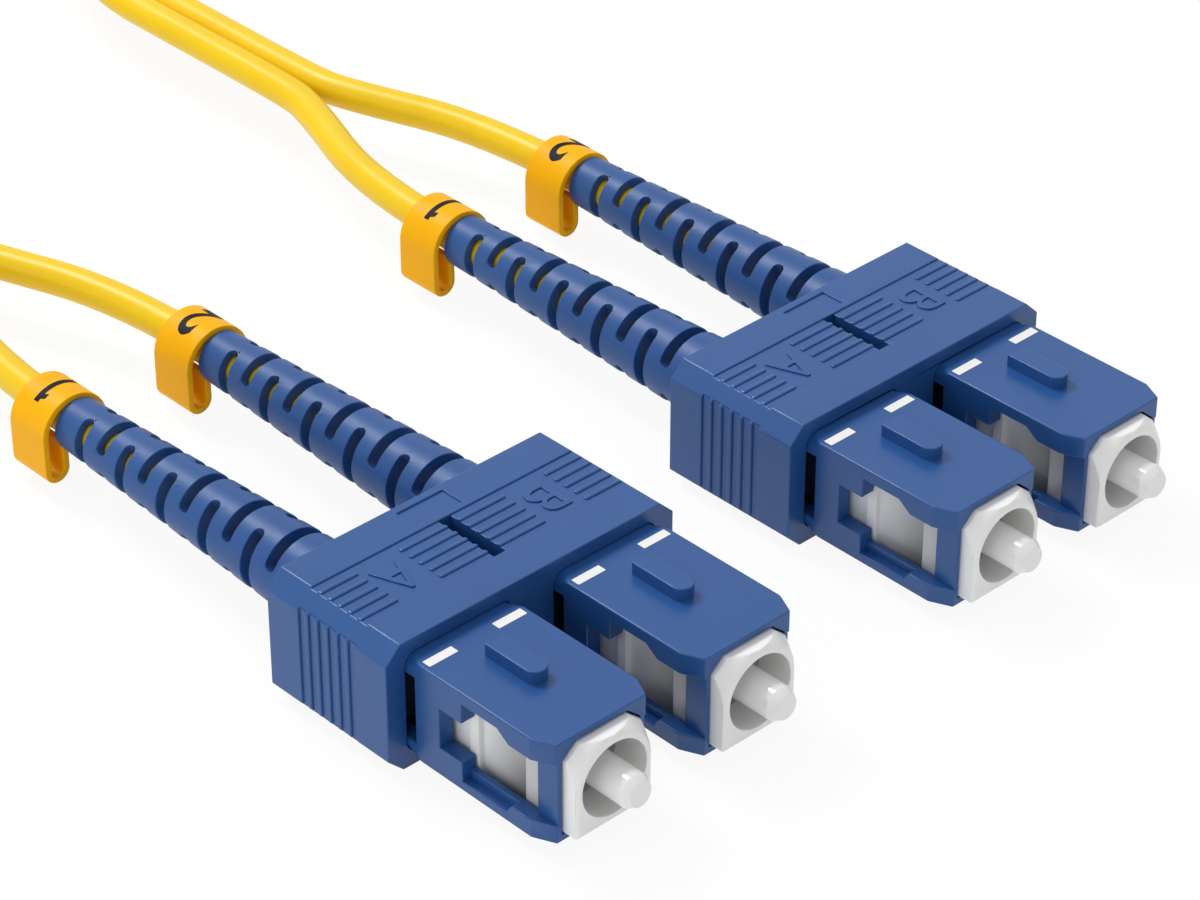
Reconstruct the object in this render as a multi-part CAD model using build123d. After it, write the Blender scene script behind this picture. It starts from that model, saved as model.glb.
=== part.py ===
from build123d import *
import math
import os

# A duplex fibre optic patch cable with a two-plug connector on each end.
# Both ends lie side by side on their clips and point along +X, with their keys up.
# Plug a is on the -Y side of its clip and carries fibre 1, and plug b carries fibre 2.
# Lengths are in mm. Z is 0 at the surface that the clips lie on.
# A plug's own pieces are drawn round its axis, with x = 0 at the front of its housing.

# Layout of the two ends
plug_pitch = 12.7
end_spacing = 36.0

# Duplex clip
clip_front_x = -13.1
clip_length = 11.6
clip_width = 25.0
clip_height = 9.9
clip_edge_y = 1.24
clip_edge_z = 1.21
clip_hold_gap = 0.04
clip_boot_gap = 0.2
groove_count = 6
groove_pitch = 0.97
groove_width = 0.62
groove_front_x = -16.15
groove_depth_side = 0.15
groove_depth_top = 0.12
panel_width = 3.6
centre_slot_width = 1.0
centre_slot_depth = 3.0
label_length = 1.9
label_width = 4.0
label_depth = 0.15
label_rear_gap = 0.6

# Sliding housing of a plug
housing_width = 9.0
housing_height = 7.7
housing_length = 22.6
housing_rear_round = 0.9
housing_edge_round = 0.12
housing_round_x = -13.0
housing_square_x = -11.9
housing_bevel_x = 1.62
housing_bevel_y = 0.74
key_length = 4.6
key_width = 1.66
key_height = 0.94
key_front_x = -5.2
slide_gap = 0.1
slide_travel = 1.5

# Window in each side wall of the housing
window_rear_x = -10.05
window_step_x = -7.93
window_low_z = -1.65
window_mid_z = 1.4
window_high_z = 2.92
window_ramp_x = -4.66
window_ramp_end_x = -3.61
rail_high_z = 2.2
rail_low_z = -2.5
pocket_low_z = -3.15
pocket_end_x = -3.9
pocket_tip_x = -3.4
pocket_depth = 0.7
bar_rear_x = -1.9
bar_wall = 0.35

# Catch slot in each side wall and the tab of the frame that runs in it
catch_front_x = -12.3
catch_height = 5.1
catch_end_gap = 0.1
tab_length = 1.4
tab_height = 3.6
tab_out = 0.75

# White plug frame
frame_width = 6.4
frame_height = 6.5
frame_corner_y = 1.1
frame_corner_z = 0.95
frame_nose = 1.2
frame_rear_x = -11.0
nose_cone_radius = 3.1
nose_cone_slope = 0.8
sleeve_bore_radius = 2.72
shoulder_x = -5.2
shoulder_length = 0.8
spring_bore_radius = 2.4
latch_rear_x = -7.8
latch_front_x = -3.48
latch_depth = 0.45
step_x = -8.65
step_depth = 0.2

# Ferrule, its holder and its spring. The length of the ferrule that is pressed into the
# holder is part of the holder's solid.
ferrule_radius = 1.25
ferrule_tip_x = 3.5
ferrule_bevel_x = 0.62
ferrule_bevel_r = 0.36
holder_seat_gap = 0.03
holder_neck_radius = 1.65
holder_neck_out = 0.3
holder_hole_gap = 0.15
flange_radius = 2.3
flange_length = 1.35
tail_radius = 1.5
tail_length = 5.4
spring_length = 4.4
spring_turns = 6
spring_wire_radius = 0.17
spring_end_gap = 0.02

# Rear body and crimp ring
body_rear_x = -16.6
tail_gap = 0.05
collar_radius = 3.0
collar_length = 1.0
crimp_stem_radius = 2.0
crimp_stem_length = 5.4
strength_bore_radius = 0.9
crimp_ring_wall = 0.38
crimp_ring_gap = 0.03
crimp_ring_length = 6.0
crimp_neck_length = 4.0
crimp_neck_wall = 0.45

# Slotted boot
boot_tip_x = -53.1
boot_tip_radius = 2.0
boot_root_radius = 3.08
boot_jacket_gap = 0.05
boot_crimp_gap = 0.05
boot_seat_gap = 0.05
slot_count = 10
slot_first_x = -50.25
slot_pitch = 2.36
slot_width = 0.94
slot_half_angle = 57.0

# Marker band on each cable leg
marker_length = 3.85
marker_wall = 0.5
marker_arc_radius = 2.54
marker_arc_y = -0.2
marker_arc_drop = 0.45
marker_arc_start = -62.0
marker_fold_z = -3.07
marker_tongue_y = -1.17
marker_tongue_top = -1.0

# Cable
jacket_radius = 1.3
zip_spacing = 2.5
coil_x = -152.0
coil_radius = 31.3
coil_spread = 2.43
coil_height = 10.3

# Route of the jackets of one end, from the boot to the coil: x, y from the end's middle,
# z from the plug axis. The two ends turn away from each other before the coil, where each
# pair of jackets turns on edge.
route_start = [
    (boot_tip_x, plug_pitch / 2, 0.0),
    (-64.0, plug_pitch / 2, 0.0),
    (-77.6, zip_spacing / 2, 0.0),
    (-105.0, zip_spacing / 2, 0.0),
]
route_ends = {
    "1a": [(-117.2, -5.8, 0.1), (-130.6, -10.2, -0.6)],
    "1b": [(-118.0, -3.8, -1.3), (-130.8, -9.4, -3.0)],
    "2a": [(-118.0, 3.8, 1.4), (-130.8, 9.4, 3.3)],
    "2b": [(-117.2, 5.8, 0.0), (-130.6, 10.2, 0.9)],
}

# Places worked out from the sizes above
axis_z = clip_height / 2
middle_x = (boot_tip_x + ferrule_tip_x) / 2
clip_rear_x = clip_front_x - clip_length
housing_rear_x = -housing_length
catch_rear_x = catch_front_x - slide_travel - tab_length - 2 * catch_end_gap
holder_front_x = shoulder_x - shoulder_length - holder_seat_gap
neck_front_x = shoulder_x + holder_neck_out
flange_rear_x = holder_front_x - flange_length
tail_rear_x = flange_rear_x - tail_length
spring_rear_x = flange_rear_x - spring_length
collar_front_x = body_rear_x
collar_rear_x = collar_front_x - collar_length
stem_rear_x = collar_rear_x - crimp_stem_length
ring_front_x = collar_rear_x
ring_rear_x = ring_front_x - crimp_ring_length
neck_rear_x = ring_rear_x - crimp_neck_length
crimp_ring_radius = crimp_stem_radius + crimp_ring_gap + crimp_ring_wall
crimp_neck_radius = jacket_radius + crimp_neck_wall
boot_front_x = collar_rear_x - boot_seat_gap
boot_bore_radius = jacket_radius + boot_jacket_gap
field_rear_x = groove_front_x - (groove_count - 1) * groove_pitch - groove_width


def bar(x0, x1, y0, y1, z0, z1):
    """A box between two corners."""
    return Pos((x0 + x1) / 2, (y0 + y1) / 2, (z0 + z1) / 2) * Box(
        abs(x1 - x0), abs(y1 - y0), abs(z1 - z0)
    )


def rod(x0, x1, radius, end_radius=None):
    """A round bar or cone along X from x0 to x1."""
    length = x1 - x0
    if end_radius is None:
        shape = Cylinder(radius, length)
    else:
        shape = Cone(radius, end_radius, length)
    return Pos((x0 + x1) / 2, 0, 0) * Rot(0, 90, 0) * shape


def prism(points, x0, x1):
    """A bar along X with the outline given by (y, z) points."""
    face = make_face(Polyline(*points, close=True))
    return extrude(Plane.YZ.offset(x0) * face, x1 - x0)


def side_cut(points, y0, y1):
    """A cutter across Y with the outline given by (x, z) points."""
    face = make_face(Polyline(*points, close=True))
    return extrude(Plane.XZ.offset(-y0) * face, -(y1 - y0))


def both_sides(cutter):
    """The cutter on the +Y side with its mirror image."""
    return [cutter, mirror(cutter, Plane.XZ)]


def frame_outline(gap):
    """The frame's section, with its two upper corners cut off, grown by a gap."""
    y = frame_width / 2 + gap
    z = frame_height / 2 + gap
    return [
        (-y, -z),
        (y, -z),
        (y, z - frame_corner_z),
        (y - frame_corner_y, z),
        (frame_corner_y - y, z),
        (-y, z - frame_corner_z),
    ]


def clip_outline():
    """The clip's section with its four long edges cut off."""
    y = clip_width / 2
    z = clip_height / 2
    corners = [
        (y, z - clip_edge_z),
        (y - clip_edge_y, z),
        (clip_edge_y - y, z),
        (-y, z - clip_edge_z),
    ]
    return corners + [(-py, -pz) for py, pz in corners]


def housing_rear(gap):
    """The part of a housing that sits in the clip, with rounded corners."""
    section = RectangleRounded(
        housing_width + 2 * gap, housing_height + 2 * gap, housing_rear_round + gap
    )
    length = housing_round_x - housing_rear_x
    return extrude(Plane.YZ.offset(housing_rear_x) * section, length)


def housing_blend():
    """The short stretch where the rounded corners run out into the front's sharper edges."""
    rear = RectangleRounded(housing_width, housing_height, housing_rear_round)
    front = RectangleRounded(housing_width, housing_height, housing_edge_round)
    return loft(
        [Plane.YZ.offset(housing_round_x) * rear, Plane.YZ.offset(housing_square_x) * front]
    )


def housing_key():
    """The key on top of a housing, with a round front end."""
    half = key_width / 2
    rear = key_front_x - key_length
    outline = Rectangle(key_length - half, key_width)
    outline = Pos(rear + (key_length - half) / 2, 0) * outline
    outline += Pos(key_front_x - half, 0) * Circle(half)
    return extrude(Pos(0, 0, housing_height / 2) * outline, key_height)


def window_cutters():
    """The side window: a through opening, a shallow pocket below it and a set back bar."""
    half = housing_width / 2
    wall = frame_width / 2 + slide_gap
    opening = [
        (window_rear_x, window_low_z),
        (window_step_x, window_low_z),
        (window_step_x, rail_low_z),
        (bar_rear_x, rail_low_z),
        (bar_rear_x, rail_high_z),
        (window_ramp_end_x, rail_high_z),
        (window_ramp_x, window_high_z),
        (window_step_x, window_high_z),
        (window_step_x, window_mid_z),
        (window_rear_x, window_mid_z),
    ]
    pocket = [
        (window_step_x, pocket_low_z),
        (pocket_end_x, pocket_low_z),
        (pocket_tip_x, rail_low_z + 0.1),
        (window_step_x, rail_low_z + 0.1),
    ]
    front = [
        (bar_rear_x - 0.1, rail_low_z),
        (1.0, rail_low_z),
        (1.0, rail_high_z),
        (bar_rear_x - 0.1, rail_high_z),
    ]
    return [
        side_cut(opening, wall - 0.2, half + 1),
        side_cut(pocket, half - pocket_depth, half + 1),
        side_cut(front, wall + bar_wall, half + 1),
    ]


def housing():
    """The outer housing of a plug: a square tube that slides on the frame."""
    half_y = housing_width / 2
    half_z = housing_height / 2
    section = RectangleRounded(housing_width, housing_height, housing_edge_round)
    body = extrude(Plane.YZ.offset(housing_square_x) * section, -housing_square_x)
    bevel = [
        (0.1, half_y - housing_bevel_y),
        (0.1, half_y + 1),
        (-housing_bevel_x, half_y + 1),
        (-housing_bevel_x, half_y),
        (0, half_y - housing_bevel_y),
    ]
    corner = extrude(
        Plane.XY.offset(-half_z - 1) * make_face(Polyline(*bevel, close=True)),
        housing_height + 2,
    )
    body -= both_sides(corner)
    body += housing_blend()
    body += housing_rear(0)
    body += housing_key()
    body -= prism(frame_outline(slide_gap), housing_rear_x - 1, 1)
    for cutter in window_cutters():
        body -= both_sides(cutter)
    catch = bar(
        catch_rear_x,
        catch_front_x,
        frame_width / 2,
        half_y + 1,
        -catch_height / 2,
        catch_height / 2,
    )
    body -= both_sides(catch)
    return body


def plug_frame():
    """The white frame that carries the ferrule, with a rounded nose and latch recesses."""
    half = frame_width / 2
    body = prism(frame_outline(0), frame_rear_x, frame_nose)
    low = bar(frame_rear_x, frame_nose, -half, half, -frame_height / 2, 0)
    span = frame_nose - frame_rear_x
    cone = rod(
        frame_rear_x,
        frame_nose,
        nose_cone_radius + nose_cone_slope * span,
        nose_cone_radius,
    )
    body = body & (low + cone)
    latch = [
        (latch_rear_x, -frame_height / 2 - 1),
        (latch_front_x, -frame_height / 2 - 1),
        (latch_front_x, frame_height / 2 + 1),
        (latch_rear_x, frame_height / 2 + 1),
    ]
    body -= both_sides(side_cut(latch, half - latch_depth, half + 1))
    step = bar(frame_rear_x - 1, step_x, half - step_depth, half + 1, -frame_height, frame_height)
    body -= both_sides(step)
    body -= rod(shoulder_x, frame_nose + 1, sleeve_bore_radius)
    body -= rod(frame_rear_x - 1, shoulder_x - shoulder_length, spring_bore_radius)
    return body - rod(frame_rear_x, frame_nose, holder_neck_radius + holder_hole_gap)


def ferrule():
    """The ceramic ferrule with its bevelled tip, from the front of its holder on."""
    bevel_x = ferrule_tip_x - ferrule_bevel_x
    body = rod(neck_front_x, bevel_x, ferrule_radius)
    return body + rod(bevel_x, ferrule_tip_x, ferrule_radius, ferrule_radius - ferrule_bevel_r)


def ferrule_holder():
    """The metal holder behind the ferrule: a neck through the shoulder, a flange and a tail."""
    body = rod(holder_front_x, neck_front_x, holder_neck_radius)
    body += rod(flange_rear_x, holder_front_x, flange_radius)
    return body + rod(tail_rear_x, flange_rear_x, tail_radius)


def spring():
    """The helical spring between the holder's flange and the rear body."""
    radius = (spring_bore_radius + tail_radius) / 2
    height = spring_length - 2 * (spring_wire_radius + spring_end_gap)
    helix = Helix(height / spring_turns, height, radius)
    section = Plane(helix @ 0, z_dir=helix % 0) * RegularPolygon(spring_wire_radius, 6)
    wire = sweep(section, helix, is_frenet=True)
    start = spring_rear_x + spring_wire_radius + spring_end_gap
    return Pos(start, 0, 0) * Rot(0, 90, 0) * wire


def rear_body():
    """The rear body: a square block with a tab on each side, a round collar and the crimp stem."""
    half = frame_width / 2
    body = prism(frame_outline(0), body_rear_x, frame_rear_x)
    waist = bar(
        catch_rear_x, frame_rear_x + 1, half - step_depth, half + 1, -frame_height, frame_height
    )
    body -= both_sides(waist)
    tab = bar(
        catch_rear_x + catch_end_gap,
        catch_rear_x + catch_end_gap + tab_length,
        half - step_depth - 0.2,
        half + tab_out,
        -tab_height / 2,
        tab_height / 2,
    )
    body += both_sides(tab)
    body += rod(collar_rear_x, collar_front_x, collar_radius)
    body += rod(stem_rear_x, collar_rear_x, crimp_stem_radius)
    deep = tail_rear_x - slide_travel - 1
    body -= rod(spring_rear_x, frame_rear_x + 1, spring_bore_radius)
    body -= rod(deep, spring_rear_x + 1, tail_radius + tail_gap)
    return body - rod(stem_rear_x - 1, deep + 0.1, strength_bore_radius)


def crimp_ring():
    """The crimped sleeve over the stem, with a neck over the cable jacket."""
    body = rod(ring_rear_x, ring_front_x, crimp_ring_radius)
    body += rod(neck_rear_x, ring_rear_x, crimp_neck_radius)
    body -= rod(ring_rear_x + 0.4, ring_front_x + 1, crimp_stem_radius + crimp_ring_gap)
    return body - rod(neck_rear_x - 1, ring_front_x, jacket_radius)


def slot_pair(x, turn):
    """Two opposite slots of a boot, each with round ends, turned about the axis."""
    inner = boot_bore_radius - 0.1
    outer = boot_root_radius + 1
    half = slot_width / 2
    section = make_face(
        Polyline((x - half, inner), (x + half, inner), (x + half, outer), (x - half, outer), close=True)
    )
    band = revolve(section, Axis.X, 2 * slot_half_angle)
    band = Rot(-slot_half_angle, 0, 0) * band
    tip = Pos(x, (inner + outer) / 2, 0) * Rot(90, 0, 0) * Cylinder(half, outer - inner)
    cutter = band + Rot(slot_half_angle, 0, 0) * tip + Rot(-slot_half_angle, 0, 0) * tip
    return [Rot(turn, 0, 0) * cutter, Rot(turn + 180, 0, 0) * cutter]


def boot():
    """The soft tapered boot, slotted in turn from the sides and from above and below."""
    body = rod(boot_tip_x, clip_rear_x, boot_tip_radius, boot_root_radius)
    body += rod(clip_rear_x, boot_front_x, boot_root_radius)
    for i in range(slot_count):
        turn = 0 if i % 2 == 0 else 90
        body -= slot_pair(slot_first_x + i * slot_pitch, turn)
    body -= rod(boot_tip_x - 1, neck_rear_x + 0.1, boot_bore_radius)
    body -= rod(neck_rear_x - boot_crimp_gap, ring_rear_x, crimp_neck_radius + boot_crimp_gap)
    return body - rod(ring_rear_x - boot_crimp_gap, 0, crimp_ring_radius + boot_crimp_gap)


def marker():
    """The clip-on marker: a band over the cable, down one side and folded up again."""
    r = marker_arc_radius
    low = -marker_arc_drop
    left = marker_arc_y - r
    start = math.radians(marker_arc_start)
    middle = math.radians((marker_arc_start + 180) / 2)
    first = (marker_arc_y + r * math.cos(start), low + r * math.sin(start))
    over = (marker_arc_y + r * math.cos(middle), low + r * math.sin(middle))
    fold_y = (left + marker_tongue_y) / 2
    fold_radius = (marker_tongue_y - left) / 2
    path = ThreePointArc(first, over, (left, low))
    path += Line((left, low), (left, marker_fold_z))
    path += ThreePointArc(
        (left, marker_fold_z), (fold_y, marker_fold_z - fold_radius), (marker_tongue_y, marker_fold_z)
    )
    path += Line((marker_tongue_y, marker_fold_z), (marker_tongue_y, marker_tongue_top))
    outline = trace(path, marker_wall)
    return extrude(Plane.YZ.offset(boot_tip_x - marker_length) * outline, marker_length)


def jacket_end():
    """The stretch of cable jacket inside the boot, from the crimp to the boot's tip."""
    return rod(boot_tip_x, ring_rear_x + 0.4, jacket_radius)


def clip_grooves():
    """Cutters for the finger grooves on both sides and on top, and the letter panels."""
    half_y = clip_width / 2
    half_z = clip_height / 2
    top = half_z - groove_depth_top
    inner = plug_pitch / 2 - panel_width / 2
    outer = plug_pitch / 2 + panel_width / 2
    cutters = []
    for i in range(groove_count):
        x1 = groove_front_x - i * groove_pitch
        x0 = x1 - groove_width
        tall = half_z - clip_edge_z + 0.13
        cutters.append(bar(x0, x1, half_y - groove_depth_side, half_y + 1, -tall, tall))
        cutters.append(bar(x0, x1, outer, half_y + 1, top, half_z + 1))
        cutters.append(bar(x0, x1, centre_slot_width / 2, inner, top, half_z + 1))
    cutters.append(bar(field_rear_x, groove_front_x, inner, outer, top, half_z + 1))
    return cutters


def clip():
    """The duplex clip that holds two housings at their pitch."""
    half_z = clip_height / 2
    body = prism(clip_outline(), clip_rear_x, clip_front_x)
    for y in (-plug_pitch / 2, plug_pitch / 2):
        body -= Pos(0, y, 0) * housing_rear(clip_hold_gap)
        body -= Pos(0, y, 0) * rod(clip_rear_x - 1, clip_front_x, boot_root_radius + clip_boot_gap)
    for cutter in clip_grooves():
        body -= both_sides(cutter)
    half = centre_slot_width / 2
    body -= bar(field_rear_x, groove_front_x, -half, half, half_z - centre_slot_depth, half_z + 1)
    label_x = clip_rear_x + label_rear_gap
    half = label_width / 2
    body -= bar(label_x, label_x + label_length, -half, half, half_z - label_depth, half_z + 1)
    return body


def corner_radii(points):
    """The radius of each corner of a cable route: as large as its two runs allow."""
    radii = []
    for a, b, c in zip(points, points[1:], points[2:]):
        before = Vector(*b) - Vector(*a)
        after = Vector(*c) - Vector(*b)
        turn = math.radians(before.get_angle(after))
        radii.append(0.45 * min(before.length, after.length) / math.tan(turn / 2))
    return radii


def jacket(end, plug):
    """One cable jacket from its boot to the coil, as straight runs and tangent arcs."""
    side = -1 if plug == "a" else 1
    points = [(x, side * y, z) for x, y, z in route_start]
    points += route_ends[end + plug]
    radii = corner_radii(points)
    print("jacket", end + plug, "radii", [round(r, 1) for r in radii])
    path = FilletPolyline(*points, radius=radii)
    section = Plane(path @ 0, z_dir=path % 0) * Circle(jacket_radius)
    tube = sweep(section, path)
    expected = math.pi * jacket_radius**2 * path.length
    share = round(tube.volume / expected, 4)
    print("jacket", end + plug, "length", round(path.length, 1), "volume share", share)
    return tube


def coil():
    """The outer shape of the put-away coil: a ring that stands on the surface."""
    outer = coil_radius + coil_spread + jacket_radius
    inner = coil_radius - coil_spread - jacket_radius
    ring = Cylinder(outer, coil_height) - Cylinder(inner, coil_height)
    return Pos(coil_x - middle_x, 0, coil_height / 2) * ring


def save(name, shape):
    """Write one node."""
    if isinstance(shape, list):
        shape = shape[0]
    export_step(shape, "parts/" + name + ".step")


def main():
    os.makedirs("parts", exist_ok=True)
    pieces = {
        "housing": housing(),
        "plug_frame": plug_frame(),
        "ferrule": ferrule(),
        "ferrule_holder": ferrule_holder(),
        "spring": spring(),
        "rear_body": rear_body(),
        "crimp_ring": crimp_ring(),
        "boot": boot(),
        "jacket_end": jacket_end(),
        "marker": marker(),
    }
    duplex_clip = clip()
    for end, side in (("1", -1), ("2", 1)):
        end_y = side * end_spacing / 2
        save("clip_" + end, Pos(-middle_x, end_y, axis_z) * duplex_clip)
        for plug, shift in (("a", -plug_pitch / 2), ("b", plug_pitch / 2)):
            place = Pos(-middle_x, end_y + shift, axis_z)
            for name, shape in pieces.items():
                save(name + "_" + end + plug, place * shape)
            save("jacket_" + end + plug, Pos(-middle_x, end_y, axis_z) * jacket(end, plug))
    save("coil", coil())


main()
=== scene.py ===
import math

import bpy
from mathutils import Matrix, Vector


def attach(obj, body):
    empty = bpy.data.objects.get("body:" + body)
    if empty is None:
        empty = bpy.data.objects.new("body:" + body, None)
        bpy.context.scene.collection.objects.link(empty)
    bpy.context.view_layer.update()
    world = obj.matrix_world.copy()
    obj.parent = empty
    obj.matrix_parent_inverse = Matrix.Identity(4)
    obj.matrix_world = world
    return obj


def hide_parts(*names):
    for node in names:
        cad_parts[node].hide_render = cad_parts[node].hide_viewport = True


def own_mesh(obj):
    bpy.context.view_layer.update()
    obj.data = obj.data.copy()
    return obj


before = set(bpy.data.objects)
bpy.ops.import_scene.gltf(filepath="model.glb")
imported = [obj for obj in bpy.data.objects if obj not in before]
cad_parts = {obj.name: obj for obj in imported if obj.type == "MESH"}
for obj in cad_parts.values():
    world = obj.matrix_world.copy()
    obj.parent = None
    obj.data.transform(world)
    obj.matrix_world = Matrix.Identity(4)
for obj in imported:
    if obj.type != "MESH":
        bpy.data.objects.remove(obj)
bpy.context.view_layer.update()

# Camera: a long lens from the front left, looking down at about 34 degrees, so that both
# ends of the cable lie one behind the other with their plugs towards the lower right.
bpy.ops.object.select_all(action="DESELECT")
bpy.ops.object.camera_add()
camera = bpy.context.object
camera.name = "camera"
camera.data.lens = 120.95
camera.data.sensor_width = 36.0
camera.data.clip_start = 0.01
camera.data.clip_end = 20.0
camera.matrix_world = Matrix((
    (0.68673, -0.40626, 0.60278, 0.166516),
    (0.72691, 0.38324, -0.56985, -0.158491),
    (0.00050, 0.82950, 0.55850, 0.160051),
    (0.0, 0.0, 0.0, 1.0),
))
bpy.context.scene.camera = camera
bpy.context.scene.view_settings.view_transform = "Standard"


# Studio: even white light all round, broad lamps above and at the left, a small one high at
# the left that draws the bright lines on the edges, and a white floor with a faint shadow.
def seen_share(nodes, links, share):
    """How much of the plain white shows: to the camera, and in gloss and glass."""
    path = nodes.new("ShaderNodeLightPath")
    either = nodes.new("ShaderNodeMath")
    either.operation = "MAXIMUM"
    links.new(path.outputs["Is Camera Ray"], either.inputs[0])
    links.new(path.outputs["Is Glossy Ray"], either.inputs[1])
    any_ray = nodes.new("ShaderNodeMath")
    any_ray.operation = "MAXIMUM"
    links.new(either.outputs[0], any_ray.inputs[0])
    links.new(path.outputs["Is Transmission Ray"], any_ray.inputs[1])
    part = nodes.new("ShaderNodeMath")
    part.operation = "MULTIPLY"
    part.inputs[1].default_value = share
    links.new(any_ray.outputs[0], part.inputs[0])
    return part.outputs[0]


plain_white = (1.0, 1.0, 1.0, 1.0)
sky_strength = 0.52
world = bpy.data.worlds.new("studio")
bpy.context.scene.world = world
world.use_nodes = True
sky = world.node_tree
sky.nodes.clear()
sky_out = sky.nodes.new("ShaderNodeOutputWorld")
sky_light = sky.nodes.new("ShaderNodeBackground")
sky_light.inputs["Color"].default_value = plain_white
sky_light.inputs["Strength"].default_value = sky_strength
sky_white = sky.nodes.new("ShaderNodeBackground")
sky_white.inputs["Color"].default_value = plain_white
sky_white.inputs["Strength"].default_value = 1.0
sky_mix = sky.nodes.new("ShaderNodeMixShader")
sky.links.new(seen_share(sky.nodes, sky.links, 1.0), sky_mix.inputs["Fac"])
sky.links.new(sky_light.outputs[0], sky_mix.inputs[1])
sky.links.new(sky_white.outputs[0], sky_mix.inputs[2])
sky.links.new(sky_mix.outputs[0], sky_out.inputs["Surface"])

lamp_target = Vector((-0.01, 0.0, 0.0))


def lamp(name, place, size, watts):
    """A square soft lamp, turned to face the middle of the two ends."""
    bpy.ops.object.light_add(type="AREA", location=place)
    light = bpy.context.object
    light.name = name
    light.data.size = size
    light.data.energy = watts
    aim = lamp_target - Vector(place)
    light.rotation_euler = aim.to_track_quat("-Z", "Y").to_euler()


lamp("lamp_above", place=(-0.02, -0.10, 0.62), size=0.50, watts=0.35)
lamp("lamp_left", place=(-0.05, -0.65, 0.20), size=0.50, watts=0.68)
lamp("lamp_edges", place=(-0.434, -0.045, 0.570), size=0.20, watts=3.0)

floor_gap = 0.00002
floor_tone = (0.97, 0.97, 0.97, 1.0)
floor_share = 0.92
bpy.ops.mesh.primitive_plane_add(size=6.0, location=(0.0, 0.0, -floor_gap))
floor = bpy.context.object
floor.name = "floor"
floor_white = bpy.data.materials.new("floor_white")
floor_white.use_nodes = True
nodes = floor_white.node_tree.nodes
links = floor_white.node_tree.links
nodes.clear()
floor_out = nodes.new("ShaderNodeOutputMaterial")
floor_matt = nodes.new("ShaderNodeBsdfDiffuse")
floor_matt.inputs["Color"].default_value = floor_tone
floor_glow = nodes.new("ShaderNodeEmission")
floor_glow.inputs["Color"].default_value = plain_white
floor_glow.inputs["Strength"].default_value = 1.0
floor_mix = nodes.new("ShaderNodeMixShader")
links.new(seen_share(nodes, links, floor_share), floor_mix.inputs["Fac"])
links.new(floor_matt.outputs[0], floor_mix.inputs[1])
links.new(floor_glow.outputs[0], floor_mix.inputs[2])
links.new(floor_mix.outputs[0], floor_out.inputs["Surface"])
floor.data.materials.append(floor_white)

# Cord: two 2.6 mm jackets of yellow PVC, moulded side by side and pulled apart near each
# end. The length that isn't in use is wound into a flat coil, with the pair on edge.
cord_width = 0.0026
end_y = {"1": -0.018, "2": 0.018}
axis_z = 0.00495
leg_run = [
    (-0.0283, 0.00635),
    (-0.0392, 0.00635),
    (-0.0515, 0.00175),
    (-0.0550, 0.00125),
    (-0.0682, 0.00125),
    (-0.0802, 0.00125),
]
turn_in = {
    "1a": [(-0.0924, -0.0058, 0.00505), (-0.1058, -0.0102, 0.00435)],
    "1b": [(-0.0932, -0.0038, 0.00365), (-0.1060, -0.0094, 0.00195)],
    "2a": [(-0.0932, 0.0038, 0.00635), (-0.1060, 0.0094, 0.00825)],
    "2b": [(-0.0924, 0.0058, 0.00495), (-0.1058, 0.0102, 0.00585)],
}
coil_middle = (-0.1272, 0.0)
coil_radius = 0.0313
coil_turns = 3.616
coil_steps = 58
coil_start = -68.8
half_wall = 0.00242
turn_pitch = 0.0027
layer_rise = 0.0051
rise_turns = 0.24
jacket_low = {"a": 0.0038, "b": 0.0013}


def leg_points(end, plug):
    """The points of one jacket from its boot to the coil."""
    side = -1.0 if plug == "a" else 1.0
    points = [(x, end_y[end] + side * y, axis_z) for x, y in leg_run]
    for x, y, z in turn_in[end + plug]:
        points.append((x, end_y[end] + y, z))
    return points


def coil_points(low):
    """The turns of the coil: inwards below, up one layer half way, and outwards again."""
    points = []
    swell = 1.0 + (math.pi * coil_turns / coil_steps) ** 2 / 4.0
    for step in range(coil_steps + 1):
        turn = coil_turns * step / coil_steps
        radius = coil_radius - half_wall + turn_pitch * abs(turn - coil_turns / 2.0)
        angle = math.radians(coil_start) - 2.0 * math.pi * turn
        climb = (turn - coil_turns / 2.0 + rise_turns / 2.0) / rise_turns
        climb = min(1.0, max(0.0, climb))
        climb = climb * climb * (3.0 - 2.0 * climb)
        points.append((
            coil_middle[0] + swell * radius * math.cos(angle),
            coil_middle[1] + swell * radius * math.sin(angle),
            low + layer_rise * climb,
        ))
    return points


tone_scale = 140.0
tone_spread = (0.3, 0.7)
grain_share = 0.12
shine_less = 0.04
shine_more = 0.05


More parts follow.
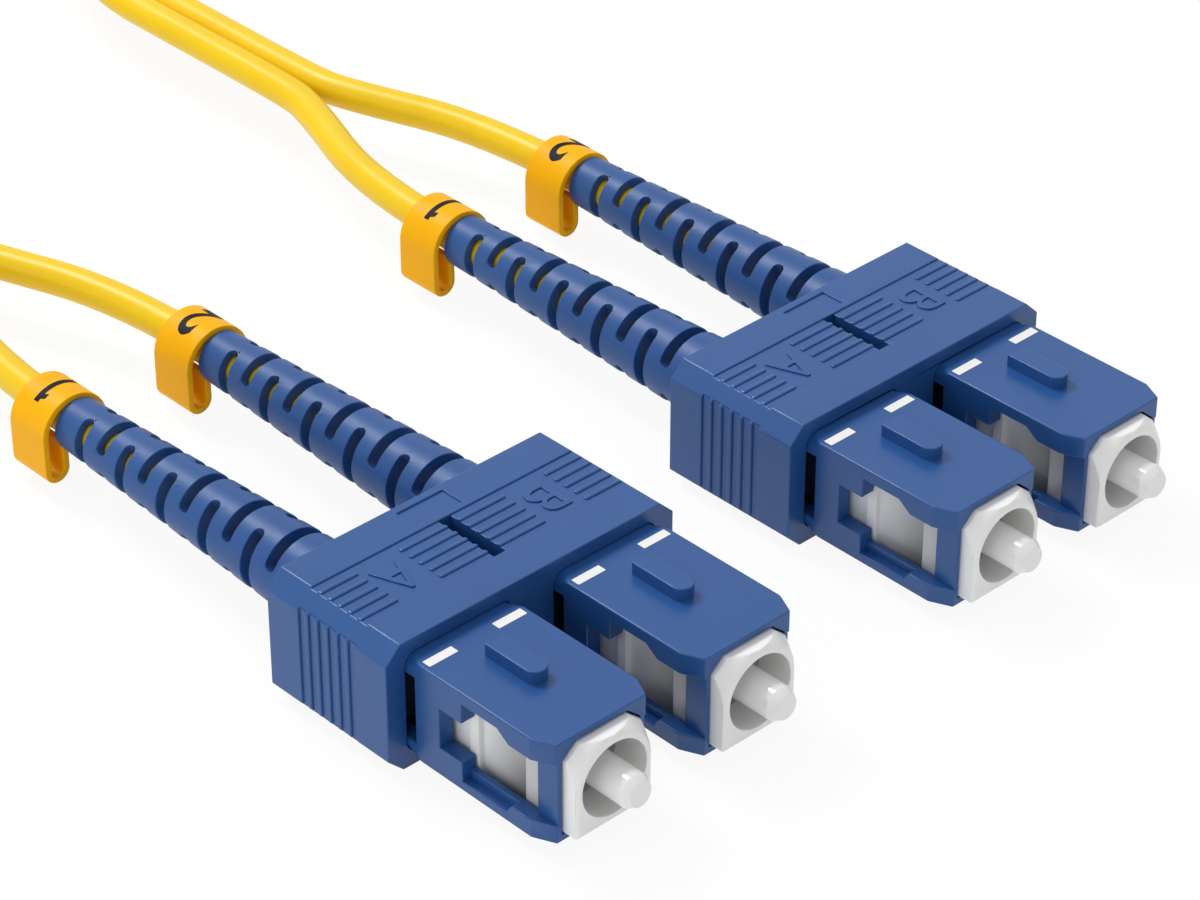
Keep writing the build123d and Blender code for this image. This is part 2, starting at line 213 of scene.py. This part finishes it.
def plastic(name, dark, light, roughness, grain_size, grain_depth, gloss=0.4):
    """A moulded plastic: two close tones, a fine grain and an uneven shine."""
    skin = bpy.data.materials.new(name)
    skin.use_nodes = True
    nodes = skin.node_tree.nodes
    links = skin.node_tree.links
    shader = nodes["Principled BSDF"]
    shader.inputs["Specular IOR Level"].default_value = gloss
    place = nodes.new("ShaderNodeTexCoord")
    cloud = nodes.new("ShaderNodeTexNoise")
    cloud.inputs["Scale"].default_value = tone_scale
    cloud.inputs["Detail"].default_value = 4.0
    links.new(place.outputs["Object"], cloud.inputs["Vector"])
    tint = nodes.new("ShaderNodeValToRGB")
    tint.color_ramp.elements[0].position = tone_spread[0]
    tint.color_ramp.elements[0].color = (*dark, 1.0)
    tint.color_ramp.elements[1].position = tone_spread[1]
    tint.color_ramp.elements[1].color = (*light, 1.0)
    links.new(cloud.outputs["Fac"], tint.inputs["Fac"])
    links.new(tint.outputs["Color"], shader.inputs["Base Color"])
    grain = nodes.new("ShaderNodeTexNoise")
    grain.name = "grain"
    grain.inputs["Scale"].default_value = 1.0 / grain_size
    grain.inputs["Detail"].default_value = 2.0
    links.new(place.outputs["Object"], grain.inputs["Vector"])
    bump = nodes.new("ShaderNodeBump")
    bump.inputs["Strength"].default_value = grain_share
    bump.inputs["Distance"].default_value = grain_depth
    links.new(grain.outputs["Fac"], bump.inputs["Height"])
    links.new(bump.outputs["Normal"], shader.inputs["Normal"])
    shine = nodes.new("ShaderNodeMapRange")
    shine.inputs["To Min"].default_value = roughness - shine_less
    shine.inputs["To Max"].default_value = roughness + shine_more
    links.new(grain.outputs["Fac"], shine.inputs["Value"])
    links.new(shine.outputs["Result"], shader.inputs["Roughness"])
    return skin


def draw_lines(skin, along, around):
    """Turn a jacket's grain into the faint lines that the extruder leaves along it."""
    nodes = skin.node_tree.nodes
    links = skin.node_tree.links
    cord_place = nodes.new("ShaderNodeTexCoord")
    stretch = nodes.new("ShaderNodeMapping")
    stretch.inputs["Scale"].default_value = (along, around, 1.0)
    links.new(cord_place.outputs["UV"], stretch.inputs["Vector"])
    links.new(stretch.outputs["Vector"], nodes["grain"].inputs["Vector"])
    nodes["grain"].inputs["Scale"].default_value = 1.0


jacket_finish = {
    "dark": (0.82, 0.545, 0.003),
    "light": (0.86, 0.580, 0.004),
    "roughness": 0.36,
    "grain_size": 0.0003,
    "grain_depth": 0.00004,
    "gloss": 0.28,
}
cord_yellow = plastic("cord_yellow", **jacket_finish)
draw_lines(cord_yellow, along=220.0, around=26.0)
for plug, low in jacket_low.items():
    route = leg_points("1", plug) + coil_points(low) + leg_points("2", plug)[::-1]
    curve = bpy.data.curves.new("cord_" + plug, "CURVE")
    curve.dimensions = "3D"
    line = curve.splines.new("NURBS")
    line.points.add(len(route) - 1)
    for point, spot in zip(line.points, route):
        point.co = (spot[0], spot[1], spot[2], 1.0)
    line.order_u = 3
    line.use_endpoint_u = True
    line.resolution_u = 8
    curve.bevel_depth = cord_width / 2.0
    curve.bevel_resolution = 8
    curve.materials.append(cord_yellow)
    cord = bpy.data.objects.new("cord_" + plug, curve)
    bpy.context.collection.objects.link(cord)
    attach(cord, "cable")
    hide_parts("jacket_1" + plug, "jacket_2" + plug, "coil")

# Jacket ends: the straight 2.6 mm lengths of the same jackets inside the boots, which show
# through the boots' slots. They go on without a joint into the cord.
jacket_yellow = plastic("jacket_yellow", **jacket_finish)


def paint(piece, material):
    """Give a piece one material in the place of those it has."""
    piece.data.materials.clear()
    piece.data.materials.append(material)


for end in "12":
    for plug in "ab":
        paint(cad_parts["jacket_end_" + end + plug], jacket_yellow)

# Housings: square tubes of smooth blue PBT that slide on the plugs' frames, with a key on
# top and a window in each side. Every outer edge has the small radius of its mould.
weld_gap = 0.000001
flat_angle = 0.6
smooth_angle = 48.0


def merged_copy(node):
    """A copy of a CAD node with its triangles joined into whole faces, ready to shape."""
    bpy.ops.object.select_all(action="DESELECT")
    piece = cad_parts[node].copy()
    piece.data = piece.data.copy()
    piece.name = node + "_finished"
    piece.parent = None
    piece.matrix_world = Matrix.Identity(4)
    bpy.context.collection.objects.link(piece)
    piece.select_set(True)
    bpy.context.view_layer.objects.active = piece
    if piece.data.has_custom_normals:
        bpy.ops.mesh.customdata_custom_splitnormals_clear()
    bpy.ops.object.mode_set(mode="EDIT")
    bpy.ops.mesh.select_all(action="SELECT")
    bpy.ops.mesh.remove_doubles(threshold=weld_gap)
    bpy.ops.mesh.dissolve_limited(angle_limit=math.radians(flat_angle))
    bpy.ops.object.mode_set(mode="OBJECT")
    return piece


def mark_corners(piece, corner):
    """Weigh the edges that stand out and are sharper than a corner angle for rounding."""
    mesh = piece.data
    sides = {}
    for face in mesh.polygons:
        for key in face.edge_keys:
            sides.setdefault(key, []).append(face)
    weights = mesh.attributes.new("bevel_weight_edge", "FLOAT", "EDGE")
    for line in mesh.edges:
        faces = sides.get(line.key, [])
        if len(faces) != 2 or faces[0].normal.angle(faces[1].normal, 0.0) < corner:
            continue
        start, end = line.vertices
        ring = list(faces[0].vertices)
        if ring[(ring.index(start) + 1) % len(ring)] != end:
            start, end = end, start
        along = mesh.vertices[end].co - mesh.vertices[start].co
        if faces[0].normal.cross(faces[1].normal).dot(along) > 0.0:
            weights.data[line.index].value = 1.0


def round_edges(piece, radius, steps=3, corner=32.0):
    """Round the outer edges sharper than a corner angle, and shade the rest smooth."""
    bpy.ops.object.select_all(action="DESELECT")
    piece.select_set(True)
    bpy.context.view_layer.objects.active = piece
    mark_corners(piece, math.radians(corner))
    edge = piece.modifiers.new("edges", "BEVEL")
    edge.width = radius
    edge.segments = steps
    edge.limit_method = "WEIGHT"
    edge.use_clamp_overlap = False
    bpy.ops.object.modifier_apply(modifier=edge.name)
    bpy.ops.object.shade_smooth_by_angle(angle=math.radians(smooth_angle))
    evened = piece.modifiers.new("evened", "WEIGHTED_NORMAL")
    evened.keep_sharp = True
    bpy.ops.object.modifier_apply(modifier=evened.name)


def fit_out(piece, body, material, node=None):
    """Give a piece its material and body, and show it in the place of a CAD node."""
    paint(piece, material)
    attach(piece, body)
    if node:
        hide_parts(node)


housing_blue = plastic(
    "housing_blue",
    dark=(0.0150, 0.078, 0.264),
    light=(0.0175, 0.084, 0.280),
    roughness=0.31,
    grain_size=0.0005,
    grain_depth=0.00003,
)
for end in "12":
    for plug in "ab":
        node = "housing_" + end + plug
        piece = merged_copy(node)
        round_edges(piece, radius=0.00009)
        fit_out(piece, "grip_" + end, housing_blue, node)

# Print marks: two white bars on top of each housing, printed in ink near the clip. They
# show how far the plug has gone into its socket.
plug_y = {"a": -0.00635, "b": 0.00635}
plug_middle = {end + plug: end_y[end] + plug_y[plug] for end in "12" for plug in "ab"}
ink_thickness = 0.00002
mark_x = 0.013225
mark_size = (0.00071, 0.00239)
mark_side = 0.002925
mark_corner = 0.00006
housing_top = axis_z + 0.00385
ink_white = plastic(
    "ink_white",
    dark=(0.84, 0.84, 0.82),
    light=(0.87, 0.87, 0.86),
    roughness=0.5,
    grain_size=0.0002,
    grain_depth=0.00001,
)


def thicken(piece, thickness, offset=1.0):
    """Give the active flat piece a thickness, on its upper side or on both."""
    wall = piece.modifiers.new("wall", "SOLIDIFY")
    wall.thickness = thickness
    wall.offset = offset
    bpy.ops.object.modifier_apply(modifier=wall.name)


for end in "12":
    for plug in "ab":
        for name, side in (("left", -mark_side), ("right", mark_side)):
            bpy.ops.object.select_all(action="DESELECT")
            bpy.ops.mesh.primitive_plane_add(size=1.0)
            mark = bpy.context.object
            mark.scale = (mark_size[0], mark_size[1], 1.0)
            mark.location = (mark_x, plug_middle[end + plug] + side, housing_top)
            bpy.ops.object.transform_apply(location=True, scale=True)
            bpy.ops.object.mode_set(mode="EDIT")
            bpy.ops.mesh.select_all(action="SELECT")
            bpy.ops.mesh.bevel(
                offset=mark_corner, segments=3, affect="VERTICES", clamp_overlap=False
            )
            bpy.ops.object.mode_set(mode="OBJECT")
            thicken(mark, ink_thickness)
            mark.name = "print_mark_" + end + plug + "_" + name
            fit_out(mark, "grip_" + end, ink_white)

# Clips: one piece of blue ABS round each pair of plugs, with finger grooves on top and at
# the sides. It snaps over the rounded rear ends of the housings.
clip_blue = plastic(
    "clip_blue",
    dark=(0.0160, 0.079, 0.262),
    light=(0.0190, 0.086, 0.280),
    roughness=0.31,
    grain_size=0.0005,
    grain_depth=0.00003,
)
for end in "12":
    piece = merged_copy("clip_" + end)
    round_edges(piece, radius=0.00008)
    fit_out(piece, "grip_" + end, clip_blue, "clip_" + end)

# Letters: the polarity letters A and B stand 0.1 mm high in the bare panels of each clip,
# moulded with it. A is on the fibre 1 side.
letter_height = 0.00305
letter_width = {"a": 0.00255, "b": 0.0021}
letter_x = 0.00605
letter_side = {"a": -0.00648, "b": 0.00630}
letter_relief = 0.00011
panel_z = 0.00978


def flat_letter(text, width, height, bold=0.0):
    """A letter as a flat mesh of a given size, with its middle at the origin."""
    bpy.ops.object.select_all(action="DESELECT")
    bpy.ops.object.text_add()
    bpy.context.object.data.body = text
    bpy.context.object.data.resolution_u = 6
    bpy.context.object.data.offset = bold
    bpy.ops.object.convert(target="MESH")
    letter = bpy.context.object
    letter.scale = (width / letter.dimensions.x, height / letter.dimensions.y, 1.0)
    bpy.ops.object.transform_apply(scale=True)
    bpy.ops.object.origin_set(type="ORIGIN_GEOMETRY", center="BOUNDS")
    letter.location = (0.0, 0.0, 0.0)
    bpy.ops.object.mode_set(mode="EDIT")
    bpy.ops.mesh.select_all(action="SELECT")
    bpy.ops.mesh.remove_doubles(threshold=0.000002)
    bpy.ops.mesh.dissolve_limited(angle_limit=math.radians(1.0))
    bpy.ops.object.mode_set(mode="OBJECT")
    return letter


for end in "12":
    for plug, text in (("a", "A"), ("b", "B")):
        letter = flat_letter(text, letter_width[plug], letter_height)
        letter.rotation_euler = (0.0, 0.0, math.radians(-90.0))
        letter.location = (letter_x, end_y[end] + letter_side[plug], panel_z)
        bpy.ops.object.transform_apply(location=True, rotation=True)
        thicken(letter, letter_relief)
        round_edges(letter, radius=0.00003, steps=2)
        letter.name = "letter_" + end + plug
        fit_out(letter, "grip_" + end, clip_blue)

# Boots: soft blue elastomer sleeves, pushed over the crimp. Slots from all four sides let
# them bend with the jacket.
boot_blue = plastic(
    "boot_blue",
    dark=(0.0155, 0.075, 0.250),
    light=(0.0185, 0.082, 0.267),
    roughness=0.42,
    grain_size=0.0005,
    grain_depth=0.00005,
    gloss=0.32,
)
boot_tip_x = -0.0283
boot_tip_radius = 0.0020
boot_root_x = 0.0001
boot_root_radius = 0.00308
boot_slope = (boot_root_radius - boot_tip_radius) / (boot_root_x - boot_tip_x)
skin_depth = 0.00003
least_facing = 0.5


def shade_cone(piece, middle):
    """Shade a boot's outer skin as the plain cone that its slots are cut from."""
    mesh = piece.data
    normals = [corner.vector.copy() for corner in mesh.corner_normals]
    for face in mesh.polygons:
        for corner in face.loop_indices:
            point = mesh.vertices[mesh.loops[corner].vertex_index].co
            out = Vector((0.0, point.y - middle, point.z - axis_z))
            skin = boot_tip_radius + boot_slope * (point.x - boot_tip_x)
            if point.x < boot_root_x and abs(out.length - skin) < skin_depth:
                cone = Vector((-boot_slope, *out.normalized().yz)).normalized()
                if face.normal.dot(cone) > least_facing:
                    normals[corner] = cone
    mesh.normals_split_custom_set(normals)


for end in "12":
    for plug in "ab":
        node = "boot_" + end + plug
        piece = merged_copy(node)
        round_edges(piece, radius=0.00012)
        shade_cone(piece, plug_middle[end + plug])
        fit_out(piece, "cable", boot_blue, node)


# Frames: the white inner bodies of the plugs, which carry the ferrules. Their noses stand
# out of the housings with well rounded edges, and the socket's latches grip the recesses.
housing_front = 0.0248
nose_x = housing_front + 0.0012
step_depth = 0.0002
step_side = 0.0030
bore_rim = 0.0029
same_place = 0.00003
# Painted shade: in the housings' windows the frames' white is darkened by place, on the
# ledges, in the latch recesses and in the bore there.
recess_front = housing_front - 0.00348
recess_fade = 0.0052
recess_high = axis_z + 0.0030
recess_low = axis_z - 0.0012
recess_painted_shade = (0.20, 0.20, 0.195, 1.0)
recess_shade_share = (0.60, 0.92)
ledge_front = housing_front - 0.0016
ledge_shade_share = 0.48
by_corners = (True, False, False)
by_edges = (False, True, False)


def pick_none(kind):
    """Clear the picks in edit mode and leave it, so that others can be picked by place."""
    bpy.context.tool_settings.mesh_select_mode = kind
    bpy.ops.mesh.select_all(action="DESELECT")
    bpy.ops.object.mode_set(mode="OBJECT")


def close_step(piece, middle, front):
    """Join the corners of the small step where the nose's round half meets its square half."""
    for side in (-1.0, 1.0):
        bpy.ops.object.mode_set(mode="EDIT")
        pick_none(by_corners)
        for point in piece.data.vertices:
            point.select = (
                point.co.x > front - step_depth
                and abs(point.co.z - axis_z) < same_place
                and (point.co.y - middle) * side > step_side
            )
        bpy.ops.object.mode_set(mode="EDIT")
        bpy.ops.mesh.merge(type="CENTER")
        bpy.ops.object.mode_set(mode="OBJECT")
        for point in piece.data.vertices:
            if point.select:
                point.co.x = front


def round_nose(piece, middle, front, radius):
    """Round the outer edges that lie in the front face of a plug's nose."""
    bpy.ops.object.mode_set(mode="EDIT")
    pick_none(by_edges)
    points = piece.data.vertices
    for line in piece.data.edges:
        spots = [points[corner].co for corner in line.vertices]
        line.select = all(
            spot.x > front - same_place
            and math.hypot(spot.y - middle, spot.z - axis_z) > bore_rim
            for spot in spots
        )
    bpy.ops.object.mode_set(mode="EDIT")
    bpy.ops.mesh.bevel(offset=radius, segments=4, affect="EDGES", clamp_overlap=False)
    bpy.ops.object.mode_set(mode="OBJECT")


mix_share = 0
mix_numbers = (2, 3)
mix_colours = (6, 7)
mixed_number = 0
mixed_colour = 2


def paint_window_shade(skin):
    """Paint shade into the frames in the windows: a set amount on the ledges, more in the
    latch recesses towards their low front.
    """
    nodes = skin.node_tree.nodes
    links = skin.node_tree.links
    shader = nodes["Principled BSDF"]
    white = shader.inputs["Base Color"].links[0].from_socket
    place = nodes.new("ShaderNodeTexCoord")
    parts = nodes.new("ShaderNodeSeparateXYZ")
    links.new(place.outputs["Object"], parts.inputs[0])
    forwards = nodes.new("ShaderNodeMapRange")
    forwards.interpolation_type = "SMOOTHSTEP"
    forwards.inputs["From Min"].default_value = recess_front - recess_fade
    forwards.inputs["From Max"].default_value = recess_front
    links.new(parts.outputs["X"], forwards.inputs["Value"])
    downwards = nodes.new("ShaderNodeMapRange")
    downwards.inputs["From Min"].default_value = recess_high
    downwards.inputs["From Max"].default_value = recess_low
    downwards.inputs["To Min"].default_value = recess_shade_share[0]
    downwards.inputs["To Max"].default_value = recess_shade_share[1]
    links.new(parts.outputs["Z"], downwards.inputs["Value"])
    in_recess = nodes.new("ShaderNodeMath")
    in_recess.operation = "LESS_THAN"
    in_recess.inputs[1].default_value = recess_front
    links.new(parts.outputs["X"], in_recess.inputs[0])
    share = nodes.new("ShaderNodeMix")
    share.data_type = "FLOAT"
    share.inputs[mix_numbers[0]].default_value = ledge_shade_share
    links.new(in_recess.outputs[0], share.inputs[mix_share])
    links.new(downwards.outputs["Result"], share.inputs[mix_numbers[1]])
    in_window = nodes.new("ShaderNodeMath")
    in_window.operation = "LESS_THAN"
    in_window.inputs[1].default_value = ledge_front
    links.new(parts.outputs["X"], in_window.inputs[0])
    inside = nodes.new("ShaderNodeMath")
    inside.operation = "MULTIPLY"
    links.new(forwards.outputs["Result"], inside.inputs[0])
    links.new(in_window.outputs[0], inside.inputs[1])
    depth = nodes.new("ShaderNodeMath")
    depth.operation = "MULTIPLY"
    links.new(inside.outputs[0], depth.inputs[0])
    links.new(share.outputs[mixed_number], depth.inputs[1])
    shade_mix = nodes.new("ShaderNodeMix")
    shade_mix.data_type = "RGBA"
    shade_mix.inputs[mix_colours[1]].default_value = recess_painted_shade
    links.new(depth.outputs[0], shade_mix.inputs[mix_share])
    links.new(white, shade_mix.inputs[mix_colours[0]])
    links.new(shade_mix.outputs[mixed_colour], shader.inputs["Base Color"])


frame_white = plastic(
    "frame_white",
    dark=(0.90, 0.90, 0.89),
    light=(0.92, 0.92, 0.91),
    roughness=0.31,
    grain_size=0.0005,
    grain_depth=0.00003,
    gloss=0.5,
)
# Painted shade in the frames' windows, standing in for the shade deep inside the housings.
paint_window_shade(frame_white)
for end in "12":
    for plug in "ab":
        node = "plug_frame_" + end + plug
        piece = merged_copy(node)
        close_step(piece, plug_middle[end + plug], nose_x)
        round_nose(piece, plug_middle[end + plug], nose_x, radius=0.00026)
        round_edges(piece, radius=0.00007)
        fit_out(piece, "cable", frame_white, node)

# Ferrules: 2.5 mm rods of white zirconia, ground and polished to a bevelled tip. Each is
# pressed into a metal holder, and the fibre cemented in its middle is too thin to be drawn.
ferrule_radius = 0.00125
ferrule_back = housing_front - 0.0049
ferrule_bevel = housing_front + 0.00288
ferrule_tip = housing_front + 0.0035
tip_share = 0.712
by_faces = (False, False, True)
zirconia = plastic(
    "zirconia",
    dark=(0.84, 0.84, 0.835),
    light=(0.87, 0.87, 0.865),
    roughness=0.12,
    grain_size=0.0006,
    grain_depth=0.000002,
    gloss=0.8,
)


def end_face(piece):
    """Select the face at the front end of a ferrule."""
    pick_none(by_faces)
    foremost = max(piece.data.polygons, key=lambda face: face.center.x)
    foremost.select = True
    bpy.ops.object.mode_set(mode="EDIT")


def copy_to(model, node, middle):
    """A copy of a model made round the X axis, with its own mesh, on the axis of a plug."""
    piece = model.copy()
    piece.data = model.data.copy()
    piece.name = node + "_finished"
    piece.data.transform(Matrix.Translation((0.0, middle, axis_z)))
    bpy.context.collection.objects.link(piece)
    return piece


bpy.ops.object.select_all(action="DESELECT")
bpy.ops.mesh.primitive_cylinder_add(
    vertices=72,
    radius=ferrule_radius,
    depth=ferrule_bevel - ferrule_back,
    location=((ferrule_bevel + ferrule_back) / 2.0, 0.0, 0.0),
    rotation=(0.0, math.radians(90.0), 0.0),
)
ferrule = bpy.context.object
bpy.ops.object.transform_apply(location=True, rotation=True)
bpy.ops.object.mode_set(mode="EDIT")
end_face(ferrule)
bpy.ops.mesh.extrude_region_move(
    TRANSFORM_OT_translate={"value": (ferrule_tip - ferrule_bevel, 0.0, 0.0)}
)
bpy.ops.transform.resize(
    value=(1.0, tip_share, tip_share), center_override=(ferrule_tip, 0.0, 0.0)
)
bpy.ops.object.mode_set(mode="OBJECT")
round_edges(ferrule, radius=0.00004, steps=2, corner=20.0)
for end in "12":
    for plug in "ab":
        node = "ferrule_" + end + plug
        piece = copy_to(ferrule, node, plug_middle[end + plug])
        fit_out(piece, node, zirconia, node)
bpy.data.objects.remove(ferrule)

# Markers: bands of orange plastic that clip over each leg behind its boot. Each is a flat
# strip, bent over the jacket, down one side and up again as a tongue under it.
band_back = housing_front - 0.05695
band_front = housing_front - 0.0531
band_wall = 0.0005
arc_radius = 0.00254
arc_y = -0.0002
arc_z = -0.00045
arc_turn = 242.0
leg_y = arc_y - arc_radius
fold_z = -0.00307
fold_turn = -180.0
tongue_y = -0.00117
tongue_top = -0.00100
fold_y = (leg_y + tongue_y) / 2.0
line_gap = 0.000005
band_orange = plastic(
    "band_orange",
    dark=(0.90, 0.430, 0.001),
    light=(0.93, 0.460, 0.002),
    roughness=0.42,
    grain_size=0.0004,
    grain_depth=0.00003,
    gloss=0.12,
)


def pick_line(piece, y, z):
    """Select the edge of the bent strip that runs along it at a given place."""
    pick_none(by_edges)
    points = piece.data.vertices
    for line in piece.data.edges:
        spots = [points[corner].co for corner in line.vertices]
        line.select = all(
            abs(spot.y - y) < line_gap and abs(spot.z - z) < line_gap for spot in spots
        )
    bpy.ops.object.mode_set(mode="EDIT")


bpy.ops.object.select_all(action="DESELECT")
bpy.ops.mesh.primitive_plane_add(
    size=1.0,
    location=((band_back + band_front) / 2.0, leg_y, (arc_z + fold_z) / 2.0),
    rotation=(math.radians(90.0), 0.0, 0.0),
)
band = bpy.context.object
band.scale = (band_front - band_back, arc_z - fold_z, 1.0)
bpy.ops.object.transform_apply(location=True, rotation=True, scale=True)
bpy.ops.object.mode_set(mode="EDIT")
pick_line(band, leg_y, arc_z)
bpy.ops.mesh.spin(
    steps=44,
    angle=math.radians(arc_turn),
    center=(0.0, arc_y, arc_z),
    axis=(1.0, 0.0, 0.0),
)
pick_line(band, leg_y, fold_z)
bpy.ops.mesh.spin(
    steps=16,
    angle=math.radians(fold_turn),
    center=(0.0, fold_y, fold_z),
    axis=(1.0, 0.0, 0.0),
)
pick_line(band, tongue_y, fold_z)
bpy.ops.mesh.extrude_region_move(
    TRANSFORM_OT_translate={"value": (0.0, 0.0, tongue_top - fold_z)}
)
bpy.ops.mesh.select_all(action="SELECT")
bpy.ops.mesh.remove_doubles(threshold=weld_gap)
bpy.ops.mesh.normals_make_consistent(inside=False)
bpy.ops.object.mode_set(mode="OBJECT")
thicken(band, band_wall, offset=0.0)
round_edges(band, radius=0.00008)
bands = {}
for end in "12":
    for plug in "ab":
        node = "marker_" + end + plug
        piece = copy_to(band, node, plug_middle[end + plug])
        fit_out(piece, "cable", band_orange, node)
        bands[end + plug] = piece
bpy.data.objects.remove(band)

# Leg numbers: 1 and 2 in black ink on top of the markers, with their feet towards +Y. The
# flat figures are cut into strips and laid onto the round of the band.
number_height = 0.0034
number_x = {"a": housing_front - 0.0551, "b": housing_front - 0.0552}
number_y = arc_y - 0.00003
number_start_z = axis_z + 0.004
one_width = 0.00044
flag_top = number_height / 2.0 - 0.00024
flag_low = number_height / 2.0 - 0.00064
flag_reach = (-0.00034, -0.00014, 0.0)
two_width = 0.00166
two_bold = 0.016
strips = 34
ink_gap = 0.000008
ink_black = plastic(
    "ink_black",
    dark=(0.004, 0.005, 0.010),
    light=(0.007, 0.008, 0.015),
    roughness=0.5,
    grain_size=0.0002,
    grain_depth=0.00001,
    gloss=0.1,
)


def cut_across(y):
    """Cut the active mesh, all of it, by a plane across the Y axis."""
    bpy.ops.mesh.select_all(action="SELECT")
    bpy.ops.mesh.bisect(plane_co=(0.0, y, 0.0), plane_no=(0.0, 1.0, 0.0))


def flat_one():
    """The figure 1 as a flat mesh: a bar with a short flag drawn out of its left side."""
    bpy.ops.object.select_all(action="DESELECT")
    bpy.ops.mesh.primitive_plane_add(size=1.0)
    one = bpy.context.object
    one.scale = (one_width, number_height, 1.0)
    bpy.ops.object.transform_apply(scale=True)
    bpy.ops.object.mode_set(mode="EDIT")
    cut_across(flag_low)
    cut_across(flag_top)
    pick_none(by_edges)
    for line in one.data.edges:
        spots = [one.data.vertices[corner].co for corner in line.vertices]
        middle = (spots[0] + spots[1]) / 2.0
        line.select = middle.x < -one_width / 2.0 + line_gap and flag_low < middle.y < flag_top
    bpy.ops.object.mode_set(mode="EDIT")
    bpy.ops.mesh.extrude_region_move(TRANSFORM_OT_translate={"value": flag_reach})
    bpy.ops.object.mode_set(mode="OBJECT")
    return one


for end in "12":
    for plug in "ab":
        middle = plug_middle[end + plug]
        if plug == "a":
            number = flat_one()
        else:
            number = flat_letter("2", two_width, number_height, two_bold)
        number.rotation_euler = (0.0, 0.0, math.radians(180.0))
        number.location = (number_x[plug], middle + number_y, number_start_z)
        bpy.ops.object.transform_apply(location=True, rotation=True)
        bpy.ops.object.mode_set(mode="EDIT")
        for strip in range(1, strips):
            cut_across(middle + arc_y + number_height * (strip / strips - 0.5))
        bpy.ops.object.mode_set(mode="OBJECT")
        laid = number.modifiers.new("laid", "SHRINKWRAP")
        laid.target = bands[end + plug]
        laid.wrap_method = "PROJECT"
        laid.use_project_z = True
        laid.use_negative_direction = True
        laid.use_positive_direction = False
        laid.offset = ink_gap
        bpy.ops.object.modifier_apply(modifier=laid.name)
        thicken(number, ink_thickness)
        bpy.ops.object.shade_smooth_by_angle(angle=math.radians(40.0))
        number.name = "number_" + end + plug
        fit_out(number, "cable", ink_black)

# Rear bodies: dark blocks behind the frames that close them, carry the side tabs and end
# in the stem that the aramid yarn is crimped on.
rear_dark = plastic(
    "rear_dark",
    dark=(0.012, 0.018, 0.036),
    light=(0.018, 0.026, 0.050),
    roughness=0.40,
    grain_size=0.0004,
    grain_depth=0.00004,
)
for end in "12":
    for plug in "ab":
        paint(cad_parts["rear_body_" + end + plug], rear_dark)

# Turned and wound metal: the nickelled ferrule holders, the crimp rings and the springs
# that press the ferrules forward. They are inside the plugs and boots.
turned_metal = plastic(
    "turned_metal",
    dark=(0.60, 0.59, 0.58),
    light=(0.66, 0.65, 0.64),
    roughness=0.30,
    grain_size=0.0003,
    grain_depth=0.00002,
)
turned_metal.node_tree.nodes["Principled BSDF"].inputs["Metallic"].default_value = 1.0
for end in "12":
    for plug in "ab":
        for name in ("ferrule_holder_", "crimp_ring_", "spring_"):
            paint(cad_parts[name + end + plug], turned_metal)
        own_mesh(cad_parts["spring_" + end + plug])
